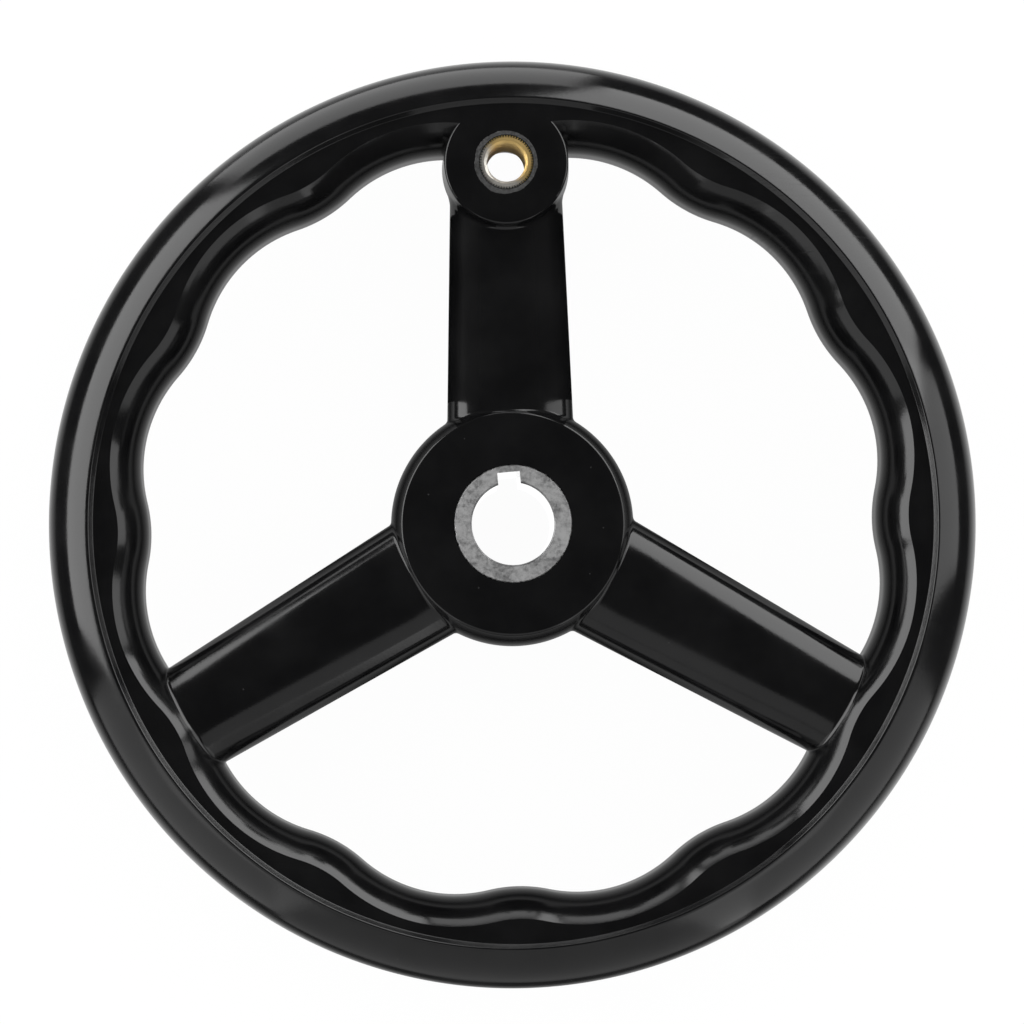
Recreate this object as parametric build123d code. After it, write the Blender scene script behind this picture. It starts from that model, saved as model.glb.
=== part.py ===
from build123d import *
import math
import os

# All sizes are in millimetres. The wheel axis is +Z, the front faces +Z, and the handle
# boss points to +Y. The origin is the centre of the bore on the hub's back face.
# A size named rise or drop counts from the parting plane of the moulding.

# Wheel
wheel_radius = 125.0
parting_height = 27.0
parting_band = 0.6

# Rim, front side: an outer roll, a small step down, a flat ledge
outer_roll_radius = 18.0
step_edge_inset = 12.2
step_edge_round = 0.7
step_height = 1.54
step_run = 1.4
step_foot_round = 0.3

# Rim, back side
rim_back_drop = 16.0
back_outer_round = 12.0
back_inner_round = 10.5

# Finger waves along the inside of the rim, and the roll above them
rim_width = 27.1
wave_count = 12
wave_depth = 4.0
inner_roll_radius = 19.2

# Spokes: an oval section, higher in front than behind
spoke_count = 3
spoke_embed = 10.0
spoke_root_width = 34.2
spoke_tip_width = 29.4
spoke_side_rise = 1.6
spoke_side_round = 8.8
spoke_crown_lift = 1.6
spoke_back_side_drop = 1.0
spoke_back_side_round = 7.0
spoke_back_crown_lift = 2.0

# Hub
hub_girth_radius = 32.7
hub_face_inset = 3.0
hub_face_lift = 1.0
hub_back_inset = 2.2
hub_edge_round = 1.0

# Handle boss
boss_inset = 29.0
boss_girth_radius = 17.1
boss_face_inset = 0.6
boss_edge_round = 0.8
boss_back_inset = 0.8
boss_back_lift = 2.6
boss_back_round = 2.0

# Steel bush with its keyway
bore_radius = 11.0
bush_wall = 4.75
bore_chamfer = 0.4
bush_edge_chamfer = 0.3
keyway_width = 6.0
keyway_depth = 2.8
keyway_angle = 4.0

# Brass insert for the handle's thread
thread_core_radius = 5.1
thread_lead_in = 1.0
insert_wall = 2.05
insert_length = 18.0
insert_seat_width = 0.55
knurl_depth = 0.35
knurl_teeth = 60

# Gap between the moulding and the metal pieces held in it
moulding_clearance = 0.02

# Small fillets where the spokes run into hub and rim, and at the foot of the boss
root_fillet = 0.8
boss_foot_fillet = 1.0

# How far a blank or a cutting tool reaches past the shape that it trims
trim_margin = 8.0

# Places that follow from the sizes above
wave_crest_radius = wheel_radius - rim_width
wave_valley_radius = wave_crest_radius + wave_depth
outer_roll_centre = wheel_radius - outer_roll_radius
step_edge_radius = wheel_radius - step_edge_inset
step_edge_rise = math.sqrt(outer_roll_radius**2 - (step_edge_radius - outer_roll_centre) ** 2)
ledge_rise = step_edge_rise - step_height
spoke_front_rise = spoke_side_rise + spoke_side_round + spoke_crown_lift
spoke_back_drop = spoke_back_side_drop + spoke_back_side_round + spoke_back_crown_lift
spoke_root_radius = hub_girth_radius - spoke_embed
spoke_tip_radius = wave_valley_radius + spoke_embed / 5
hub_face_rise = spoke_front_rise + hub_face_lift
boss_pitch_radius = wheel_radius - boss_inset
boss_back_drop = spoke_back_drop + boss_back_lift
bush_outer_radius = bore_radius + bush_wall
insert_tip_radius = thread_core_radius + insert_wall


def polar(radius, degrees):
    """Return the point at a radius and at an angle from +X."""
    angle = math.radians(degrees)
    return Vector(radius * math.cos(angle), radius * math.sin(angle))


def turned(profile):
    """Turn a half section, drawn with X outward and Y up, into a solid about Z."""
    return Rot(90, 0, 0) * revolve(profile, Axis.Y)


def rounded(profile, x, y, radius):
    """Round the corner of a flat profile that lies nearest to x, y."""
    corner = profile.vertices().sort_by_distance((x, y, 0))[0]
    return fillet(corner, radius)


def wave_arc_radius():
    """Return the radius of the equal arcs that run tangent from crest to valley."""
    cosine = math.cos(math.pi / wave_count)
    a = 2 - 2 * cosine
    b = 2 * (wave_valley_radius - wave_crest_radius) * (1 + cosine)
    c = wave_crest_radius**2 + wave_valley_radius**2
    c = c - 2 * wave_crest_radius * wave_valley_radius * cosine
    return (math.sqrt(b**2 + 4 * a * c) - b) / (2 * a)


def wave_outline():
    """Return the closed inner outline of the rim: crest and valley arcs in turn."""
    arc = wave_arc_radius()
    half_pitch = 180 / wave_count

    def arc_joint(crest_angle, valley_angle):
        crest_centre = polar(wave_crest_radius + arc, crest_angle)
        valley_centre = polar(wave_valley_radius - arc, valley_angle)
        return (crest_centre + valley_centre) / 2

    edges = []
    for i in range(wave_count):
        crest = 90 + 2 * i * half_pitch
        valley = crest + half_pitch
        start = arc_joint(crest, crest - half_pitch)
        middle = arc_joint(crest, valley)
        end = arc_joint(valley + half_pitch, valley)
        edges.append(ThreePointArc(start, polar(wave_crest_radius, crest), middle))
        edges.append(ThreePointArc(middle, polar(wave_valley_radius, valley), end))
    return Wire(edges)


def waved_ring():
    """Return a thick ring whose inside has the waves, rolled over at front and back."""
    outline = Wire.make_circle(wheel_radius + trim_margin)
    height = rim_back_drop + parting_band + inner_roll_radius
    ring = extrude(Face(outline, [wave_outline()]), height, (0, 0, 1))
    ring = Pos(0, 0, -rim_back_drop) * ring
    arc = wave_arc_radius()

    def wave_edges(solid, low, high):
        arcs = solid.edges().filter_by(GeomType.CIRCLE)
        arcs = arcs.filter_by(lambda edge: abs(edge.radius - arc) < 0.01)
        return arcs.filter_by(lambda edge: low < edge.center().Z < high)

    front = wave_edges(ring, 0, height)
    ring = fillet(front, inner_roll_radius)
    back = wave_edges(ring, -height, -rim_back_drop / 2)
    return fillet(back, back_inner_round)


def rim_blank():
    """Return the rim without its waves: roll, step and ledge in front, plain behind."""
    inside = wave_crest_radius - trim_margin
    back_start = back_outer_round - rim_back_drop
    back_end = (wheel_radius - back_outer_round, -rim_back_drop)
    step_edge = (step_edge_radius, step_edge_rise)
    step_foot = (step_edge_radius - step_run, ledge_rise)
    outline = [
        Line((wheel_radius, back_start), (wheel_radius, 0)),
        TangentArc((wheel_radius, 0), step_edge, tangent=(0, 1)),
        Polyline(step_edge, step_foot, (inside, ledge_rise), (inside, -rim_back_drop), back_end),
        TangentArc((wheel_radius, back_start), back_end, tangent=(0, -1)),
    ]
    profile = make_face(Curve() + outline)
    profile = rounded(profile, *step_edge, step_edge_round)
    profile = rounded(profile, *step_foot, step_foot_round)
    return turned(profile)


def hub_blank():
    """Return the barrel-shaped hub before it is bored."""
    girth = (hub_girth_radius, 0)
    face_edge = (hub_girth_radius - hub_face_inset, hub_face_rise)
    back_edge = (hub_girth_radius - hub_back_inset, -parting_height)
    outline = [
        Polyline(back_edge, (0, -parting_height), (0, hub_face_rise), face_edge),
        TangentArc(girth, face_edge, tangent=(0, 1)),
        TangentArc(girth, back_edge, tangent=(0, -1)),
    ]
    profile = make_face(Curve() + outline)
    profile = rounded(profile, *face_edge, hub_edge_round)
    profile = rounded(profile, *back_edge, hub_edge_round)
    return turned(profile)


def spoke_half(half_width, side_rise, side_round, crown_lift):
    """Return one face of a spoke's section: a side round, the wide crown, a side round."""
    inset = half_width - side_round
    rise = side_rise + side_round + crown_lift
    crown = (inset**2 + 2 * side_round * crown_lift + crown_lift**2) / (2 * crown_lift)
    to_side = Vector(inset, side_rise - rise + crown).normalized()
    right = Vector(0, rise - crown) + to_side * crown
    left = Vector(-right.X, right.Y)
    return [
        TangentArc((half_width, side_rise), right, tangent=(0, 1)),
        ThreePointArc(right, (0, rise), left),
        TangentArc((-half_width, side_rise), left, tangent=(0, 1)),
    ]


def spoke_section(distance, width):
    """Return the spoke's oval section at a distance from the wheel axis."""
    half = width / 2
    front = spoke_half(half, spoke_side_rise, spoke_side_round, spoke_crown_lift)
    back = spoke_half(
        half, spoke_back_side_drop, spoke_back_side_round, spoke_back_crown_lift
    )
    back = [mirror(edge, Plane.XZ) for edge in back]
    sides = [
        Line((x, spoke_side_rise), (x, -spoke_back_side_drop)) for x in (-half, half)
    ]
    section = make_face(Curve() + front + back + sides)
    return Plane((0, distance, 0), x_dir=(1, 0, 0), z_dir=(0, -1, 0)) * section


def spokes():
    """Return the spokes, which narrow towards the rim, spaced evenly round the hub."""
    root = spoke_section(spoke_root_radius, spoke_root_width)
    tip = spoke_section(spoke_tip_radius, spoke_tip_width)
    spoke = loft([root, tip], ruled=True)
    return [Rot(0, 0, 360 * i / spoke_count) * spoke for i in range(spoke_count)]


def boss_blank():
    """Return the handle boss before it is bored, level with the rim's ledge."""
    face_edge = (boss_girth_radius - boss_face_inset, ledge_rise)
    back_edge = (boss_girth_radius - boss_back_inset, -boss_back_drop)
    outline = Polyline(
        (0, -boss_back_drop),
        (0, ledge_rise),
        face_edge,
        (boss_girth_radius, 0),
        back_edge,
        close=True,
    )
    profile = make_face(outline)
    profile = rounded(profile, *face_edge, boss_edge_round)
    profile = rounded(profile, *back_edge, boss_back_round)
    return Pos(0, boss_pitch_radius, 0) * turned(profile)


def bush_pocket():
    """Return the straight hole through the hub that holds the bush."""
    height = parting_height + hub_face_rise
    pocket = Cylinder(bush_outer_radius + moulding_clearance, height + trim_margin)
    return Pos(0, 0, height / 2 - parting_height) * pocket


def insert_pocket():
    """Return the hole through the boss: a seat for the insert, then a narrower hole."""
    seat_radius = insert_tip_radius + moulding_clearance
    seat_floor = ledge_rise - insert_length
    back_hole_radius = insert_tip_radius - insert_seat_width
    outline = Polyline(
        (0, ledge_rise + trim_margin),
        (seat_radius, ledge_rise + trim_margin),
        (seat_radius, seat_floor),
        (back_hole_radius, seat_floor),
        (back_hole_radius, -boss_back_drop - trim_margin),
        (0, -boss_back_drop - trim_margin),
        close=True,
    )
    return Pos(0, boss_pitch_radius, 0) * turned(make_face(outline))


def hub_with_spokes():
    """Return the hub, the spokes and the boss as one solid, filleted where they meet."""
    hub = hub_blank()
    arms = spokes()
    star = hub + arms
    star = fillet(new_edges(hub, *arms, combined=star), root_fillet)
    boss = boss_blank()
    with_boss = star + boss
    foot = new_edges(star, boss, combined=with_boss)
    foot = foot.filter_by(lambda edge: edge.center().Z > spoke_side_rise)
    return fillet(foot, boss_foot_fillet)


def wheel_body():
    """Return the one-piece moulding with its two pockets."""
    rim = rim_blank() & waved_ring()
    star = hub_with_spokes()
    body = rim + star
    roots = new_edges(rim, star, combined=body)
    roots = roots.filter_by(lambda edge: edge.center().Y < boss_pitch_radius / 2)
    body = fillet(roots, root_fillet)
    return body - bush_pocket() - insert_pocket()


def hub_bush():
    """Return the steel bush that runs the full height of the hub, with its keyway."""
    top = hub_face_rise
    bottom = -parting_height
    outer = bush_outer_radius
    outline = Polyline(
        (bore_radius, bottom + bore_chamfer),
        (bore_radius + bore_chamfer, bottom),
        (outer - bush_edge_chamfer, bottom),
        (outer, bottom + bush_edge_chamfer),
        (outer, top - bush_edge_chamfer),
        (outer - bush_edge_chamfer, top),
        (bore_radius + bore_chamfer, top),
        (bore_radius, top - bore_chamfer),
        close=True,
    )
    reach = bore_radius + keyway_depth
    keyway = Box(keyway_width, reach, top - bottom + trim_margin)
    keyway = Pos(0, reach / 2, (top + bottom) / 2) * keyway
    return turned(make_face(outline)) - Rot(0, 0, keyway_angle) * keyway


def knurl_outline():
    """Return the insert's outline with one point for each knurl tip and each root."""
    points = []
    for i in range(knurl_teeth):
        tip_angle = 360 * i / knurl_teeth
        points.append(polar(insert_tip_radius, tip_angle))
        points.append(polar(insert_tip_radius - knurl_depth, tip_angle + 180 / knurl_teeth))
    return Polyline(*points, close=True)


def thread_hole():
    """Return the insert's hole at the thread's core size, opened out at both ends."""
    top = ledge_rise
    bottom = ledge_rise - insert_length
    mouth_radius = thread_core_radius + thread_lead_in
    outline = Polyline(
        (0, top),
        (mouth_radius, top),
        (thread_core_radius, top - thread_lead_in),
        (thread_core_radius, bottom + thread_lead_in),
        (mouth_radius, bottom),
        (0, bottom),
        close=True,
    )
    return turned(make_face(outline))


def handle_insert():
    """Return the knurled brass insert that takes the handle's screw."""
    insert = extrude(make_face(knurl_outline()), insert_length)
    insert = Pos(0, 0, ledge_rise - insert_length) * insert - thread_hole()
    return Pos(0, boss_pitch_radius, 0) * insert


def main():
    """Make each piece, set the hub's back face at zero height, and write the files."""
    os.makedirs("parts", exist_ok=True)
    pieces = {
        "wheel_body": wheel_body(),
        "hub_bush": hub_bush(),
        "handle_insert": handle_insert(),
    }
    for name, piece in pieces.items():
        export_step(Pos(0, 0, parting_height) * piece, f"parts/{name}.step")


if __name__ == "__main__":
    main()
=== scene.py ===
"""Dress the black moulded handwheel: wheel body, steel bush, brass insert, stage and lamps."""
import logging
import math
from dataclasses import dataclass, field
from enum import Enum
from functools import reduce
from typing import Callable, Sequence

import bpy
import numpy as np
from mathutils import Matrix, Vector


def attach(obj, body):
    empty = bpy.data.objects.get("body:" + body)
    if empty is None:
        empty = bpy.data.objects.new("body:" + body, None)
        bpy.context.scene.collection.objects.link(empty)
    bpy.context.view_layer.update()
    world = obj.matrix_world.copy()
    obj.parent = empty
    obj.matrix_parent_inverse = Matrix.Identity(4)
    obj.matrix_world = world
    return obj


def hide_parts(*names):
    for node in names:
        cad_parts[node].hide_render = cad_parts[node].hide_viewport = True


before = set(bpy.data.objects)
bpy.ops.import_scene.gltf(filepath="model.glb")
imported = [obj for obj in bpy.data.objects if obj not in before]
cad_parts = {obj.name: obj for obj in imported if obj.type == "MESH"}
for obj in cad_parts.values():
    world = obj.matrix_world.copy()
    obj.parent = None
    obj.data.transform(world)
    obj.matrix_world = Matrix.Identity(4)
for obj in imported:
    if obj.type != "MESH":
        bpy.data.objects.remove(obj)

LOG = logging.getLogger("handwheel")
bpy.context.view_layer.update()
MM = 0.001
PARTING = 27.0
LATHE_WELD = 0.002
GRID_WELD = 0.0005
SAME_POINT = 1e-4
BOSS_PITCH = 96.0
Point = tuple[float, float]
Triple = tuple[float, float, float]
Colour = Triple
Wall = Callable[[np.ndarray, np.ndarray], np.ndarray]
Socket = bpy.types.NodeSocket


class Body(Enum):
    """The bodies that pieces ride on."""

    WHEEL = "root"


class Slot(Enum):
    """The record's material slots."""

    MOULDING = "body"
    BUSH = "bush"
    INSERT = "insert"


class SpokeEnd(Enum):
    """What a spoke runs into at its outer end."""

    RIM = "rim"
    BOSS = "boss"


class Combination(Enum):
    """The ways in which two closed meshes are combined."""

    JOIN = "UNION"
    CUT = "DIFFERENCE"


# Bench work: the steps by which every mesh is made


def deselect_everything() -> None:
    """Leave edit mode and clear the selection."""
    if bpy.context.object is not None and bpy.context.object.mode != "OBJECT":
        bpy.ops.object.mode_set(mode="OBJECT")
    bpy.ops.object.select_all(action="DESELECT")


def make_active(piece: bpy.types.Object) -> None:
    """Select one piece alone and make it the active one.

    Args:
        piece: The object that the next steps work on.
    """
    deselect_everything()
    piece.select_set(True)
    bpy.context.view_layer.objects.active = piece


def coordinates(piece: bpy.types.Object) -> np.ndarray:
    """Read a mesh's corner places.

    Args:
        piece: The mesh object.

    Returns:
        An array of x, y and z in metres, one row for each vertex.
    """
    places = np.empty(len(piece.data.vertices) * 3)
    piece.data.vertices.foreach_get("co", places)
    return places.reshape(-1, 3)


def polar(places: np.ndarray) -> tuple[np.ndarray, np.ndarray]:
    """Return each point's radius, and its angle round the Z axis in radians."""
    return np.hypot(places[:, 0], places[:, 1]), np.arctan2(places[:, 1], places[:, 0])


def turned(pairs: np.ndarray, turn: np.ndarray) -> np.ndarray:
    """Turn points of the XY plane round the origin.

    Args:
        pairs: One row of x and y for each point.
        turn: Each point's own turn, in radians anticlockwise.

    Returns:
        The turned points.
    """
    cosine, sine = np.cos(turn), np.sin(turn)
    x = pairs[:, 0] * cosine - pairs[:, 1] * sine
    y = pairs[:, 0] * sine + pairs[:, 1] * cosine
    return np.column_stack([x, y])


def root_of(values: np.ndarray, least: float) -> np.ndarray:
    """Return square roots, with values under the least one raised to it."""
    return np.sqrt(np.maximum(values, least))


def place_vertices(piece: bpy.types.Object, places: np.ndarray) -> None:
    """Move a mesh's vertices to new places.

    Args:
        piece: The mesh object.
        places: One row of x, y and z in metres for each vertex.
    """
    piece.data.vertices.foreach_set("co", np.ascontiguousarray(places, dtype=float).ravel())
    piece.data.update()


def ring_of_points(name: str, points: Sequence[Point]) -> bpy.types.Object:
    """Add a circle with one vertex for each point and draw it into a closed section.

    Args:
        name: The new object's name.
        points: The section's radius and height at each vertex, in millimetres.

    Returns:
        The new object, whose section stands in the XZ plane.
    """
    deselect_everything()
    bpy.ops.mesh.primitive_circle_add(vertices=len(points), radius=MM, fill_type="NOTHING")
    piece = bpy.context.object
    piece.name = name
    section = np.asarray(points, dtype=float) * MM
    places = np.column_stack([section[:, 0], np.zeros(len(points)), section[:, 1]])
    place_vertices(piece, places)
    return piece


def turn_on_lathe(name: str, points: Sequence[Point], steps: int) -> bpy.types.Object:
    """Spin a closed section once round the Z axis.

    Args:
        name: The new object's name.
        points: The section's radius and height at each vertex, in millimetres.
        steps: How many times the section is repeated round the axis.

    Returns:
        The closed solid of revolution.
    """
    piece = ring_of_points(name, points)
    make_active(piece)
    bpy.ops.object.mode_set(mode="EDIT")
    bpy.ops.mesh.select_all(action="SELECT")
    bpy.ops.mesh.spin(steps=steps, angle=math.tau, center=(0, 0, 0), axis=(0, 0, 1))
    bpy.ops.mesh.select_all(action="SELECT")
    bpy.ops.mesh.remove_doubles(threshold=MM * LATHE_WELD)
    bpy.ops.mesh.normals_make_consistent(inside=False)
    bpy.ops.object.mode_set(mode="OBJECT")
    return piece


def roll_up_grid(name: str, rows: np.ndarray) -> bpy.types.Object:
    """Roll a grid up into a tube whose rows are given loops, and close both its ends.

    Args:
        name: The new object's name.
        rows: An array of loops by points by x, y and z, in millimetres.

    Returns:
        The closed tube.
    """
    loops, points = rows.shape[:2]
    deselect_everything()
    bpy.ops.mesh.primitive_grid_add(x_subdivisions=points, y_subdivisions=loops - 1, size=MM)
    piece = bpy.context.object
    piece.name = name
    wrapped = np.concatenate([rows, rows[:, :1]], axis=1)
    place_vertices(piece, wrapped.reshape(-1, 3) * MM)
    make_active(piece)
    bpy.ops.object.mode_set(mode="EDIT")
    bpy.ops.mesh.select_all(action="SELECT")
    bpy.ops.mesh.remove_doubles(threshold=MM * GRID_WELD)
    bpy.ops.mesh.select_all(action="DESELECT")
    bpy.ops.mesh.select_non_manifold()
    bpy.ops.mesh.fill_holes(sides=0)
    bpy.ops.mesh.select_all(action="SELECT")
    bpy.ops.mesh.normals_make_consistent(inside=False)
    bpy.ops.object.mode_set(mode="OBJECT")
    return piece


def move_mesh(piece: bpy.types.Object, matrix: Matrix) -> None:
    """Move, turn or scale the mesh itself, so that the object stays at the origin."""
    piece.data.transform(matrix)
    piece.data.update()


def move_to_boss(piece: bpy.types.Object) -> None:
    """Move a mesh from the wheel's axis out to the handle boss's axis."""
    move_mesh(piece, Matrix.Translation((0, BOSS_PITCH * MM, 0)))


def combine(piece: bpy.types.Object, tool: bpy.types.Object, way: Combination) -> None:
    """Join a closed mesh to a piece, or cut it away, and delete the tool.

    Args:
        piece: The mesh that is kept.
        tool: The mesh that is joined or cut away.
        way: Whether to join or to cut.
    """
    make_active(piece)
    modifier = piece.modifiers.new("combine", "BOOLEAN")
    modifier.operation = way.value
    modifier.solver = "MANIFOLD"
    modifier.object = tool
    bpy.ops.object.modifier_apply(modifier=modifier.name)
    bpy.data.objects.remove(tool, do_unlink=True)


def smooth_by_angle(piece: bpy.types.Object, degrees: float) -> None:
    """Shade a piece smooth except over edges sharper than an angle."""
    make_active(piece)
    bpy.ops.object.shade_smooth_by_angle(angle=math.radians(degrees))


def report_piece(piece: bpy.types.Object) -> None:
    """Write a finished piece's size to the log.

    Args:
        piece: The finished mesh object.
    """
    places = coordinates(piece) / MM
    size = places.max(axis=0) - places.min(axis=0)
    faces = len(piece.data.polygons)
    LOG.info("%s: %d faces, %.1f x %.1f x %.1f mm", piece.name, faces, *size)


def finish_piece(
    piece: bpy.types.Object,
    material: bpy.types.Material,
    stands_for: str | None = None,
) -> None:
    """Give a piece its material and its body.

    Args:
        piece: The finished mesh object.
        material: The finish.
        stands_for: The solid that the piece replaces, if any.
    """
    piece.data.materials.clear()
    piece.data.materials.append(material)
    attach(piece, Body.WHEEL.value)
    if stands_for is not None:
        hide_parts(stands_for)
    report_piece(piece)


# Sections


def arc(centre: Point, radius: float, start: float, end: float, steps: int) -> list[Point]:
    """Return points along an arc of a section.

    Args:
        centre: The arc's centre.
        radius: The arc's radius.
        start: The angle of the first point, in degrees from the outward direction.
        end: The angle of the last point.
        steps: How many equal steps lie between them.

    Returns:
        The points, first and last included.
    """
    angles = [math.radians(start + (end - start) * i / steps) for i in range(steps + 1)]
    return [(centre[0] + radius * math.cos(a), centre[1] + radius * math.sin(a)) for a in angles]


def run(start: Point, end: Point, steps: int) -> list[Point]:
    """Return points along a straight run, without its two ends.

    Args:
        start: Where the run starts.
        end: Where it ends.
        steps: How many equal steps the run has.

    Returns:
        The points between the ends.
    """
    return [
        (start[0] + (end[0] - start[0]) * i / steps, start[1] + (end[1] - start[1]) * i / steps)
        for i in range(1, steps)
    ]


def rounded_corner(
    before: Point, corner: Point, after: Point, radius: float, steps: int
) -> list[Point]:
    """Round a section's corner.

    Args:
        before: A point on the run that leads to the corner.
        corner: The corner.
        after: A point on the run that leaves it.
        radius: The round's radius.
        steps: How many equal steps the round has.

    Returns:
        The points of the round in order.
    """
    here = Vector(corner)
    back = (Vector(before) - here).normalized()
    ahead = (Vector(after) - here).normalized()
    half = back.angle(ahead) / 2
    reach = radius / math.tan(half)
    middle = here + (back + ahead).normalized() * (radius / math.sin(half))
    first = here + back * reach - middle
    sweep = math.pi - 2 * half
    turn = first.angle_signed(here + ahead * reach - middle)
    sign = -1 if turn > 0 else 1
    points = []
    for i in range(steps + 1):
        spun = first.copy()
        spun.rotate(Matrix.Rotation(sign * sweep * i / steps, 2))
        points.append(tuple(middle + spun))
    return points


def joined(*parts: Sequence[Point]) -> list[Point]:
    """Put runs and arcs together and drop points that fall on the one before.

    Args:
        parts: The runs and arcs in order.

    Returns:
        The points of the closed section, or of the open line.
    """
    points: list[Point] = []
    for part in parts:
        for point in part:
            if not points or math.dist(point, points[-1]) > SAME_POINT:
                points.append((point[0], point[1]))
    if math.dist(points[0], points[-1]) < SAME_POINT:
        points.pop()
    return points


# The moulding


@dataclass
class FingerWaves:
    """The waved line that the rim's inside follows: equal arcs, bulging in and out by turns."""

    count: int = 12
    crest: float = 97.9
    valley: float = 101.9

    @property
    def half_pitch(self) -> float:
        """Return the angle from a crest to the next valley, in radians."""
        return math.pi / self.count

    @property
    def arc_radius(self) -> float:
        """Return the radius at which crest and valley arcs run tangent into each other.

        Returns:
            The radius that both arcs share, in millimetres.
        """
        cosine = math.cos(self.half_pitch)
        a = 2 - 2 * cosine
        b = 2 * (self.valley - self.crest) * (1 + cosine)
        c = self.crest**2 + self.valley**2 - 2 * self.crest * self.valley * cosine
        return (math.sqrt(b * b + 4 * a * c) - b) / (2 * a)

    def joint(self) -> tuple[np.ndarray, np.ndarray, np.ndarray]:
        """Find both arcs' centres and their joint, with the crest along the first axis.

        Returns:
            The crest arc's centre, the valley arc's centre and the joint.
        """
        crest_centre = np.array([self.crest + self.arc_radius, 0.0])
        reach = self.valley - self.arc_radius
        valley_centre = reach * np.array([math.cos(self.half_pitch), math.sin(self.half_pitch)])
        return crest_centre, valley_centre, (crest_centre + valley_centre) / 2

    def at(self, theta: np.ndarray) -> tuple[np.ndarray, np.ndarray]:
        """Find the waved line and its outward direction at given angles.

        Args:
            theta: Angles round the wheel in radians, anticlockwise from +X.

        Returns:
            The points of the line and the unit directions into the rim.
        """
        half = self.half_pitch
        phi = np.mod(theta - math.pi / 2 + half, 2 * half) - half
        side = np.where(phi < 0, -1.0, 1.0)
        bend = np.abs(phi)
        radius = self.arc_radius
        crest_centre, valley_centre, joint = self.joint()
        ray = np.column_stack([np.cos(bend), np.sin(bend)])
        along = ray @ crest_centre
        near = along - root_of(along**2 - crest_centre @ crest_centre + radius**2, least=0)
        along = ray @ valley_centre
        far = along + np.sqrt(along**2 - valley_centre @ valley_centre + radius**2)
        on_crest = bend <= math.atan2(joint[1], joint[0])
        reach = np.where(on_crest, near, far)
        line = ray * reach[:, None]
        inward = np.where(on_crest[:, None], crest_centre - line, line - valley_centre) / radius
        line[:, 1] *= side
        inward[:, 1] *= side
        return turned(line, theta - phi), turned(inward, theta - phi)

    def wall_ahead(self, across: np.ndarray, offset: np.ndarray) -> np.ndarray:
        """Find how far along a crest's direction the waved line lies.

        Args:
            across: Distances sideways from the crest's direction.
            offset: How far the line has moved into the rim.

        Returns:
            The distances from the wheel axis along the crest's direction.
        """
        crest_centre, valley_centre, joint = self.joint()
        radius = self.arc_radius
        drift = (joint - valley_centre) / radius
        x = np.abs(across)
        limit = joint[1] + drift[1] * offset
        near = crest_centre[0] - root_of((radius - offset) ** 2 - x**2, least=0.01)
        far = valley_centre[0] + np.sqrt((radius + offset) ** 2 - (x - valley_centre[1]) ** 2)
        return np.where(x <= limit, near, far)


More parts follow.
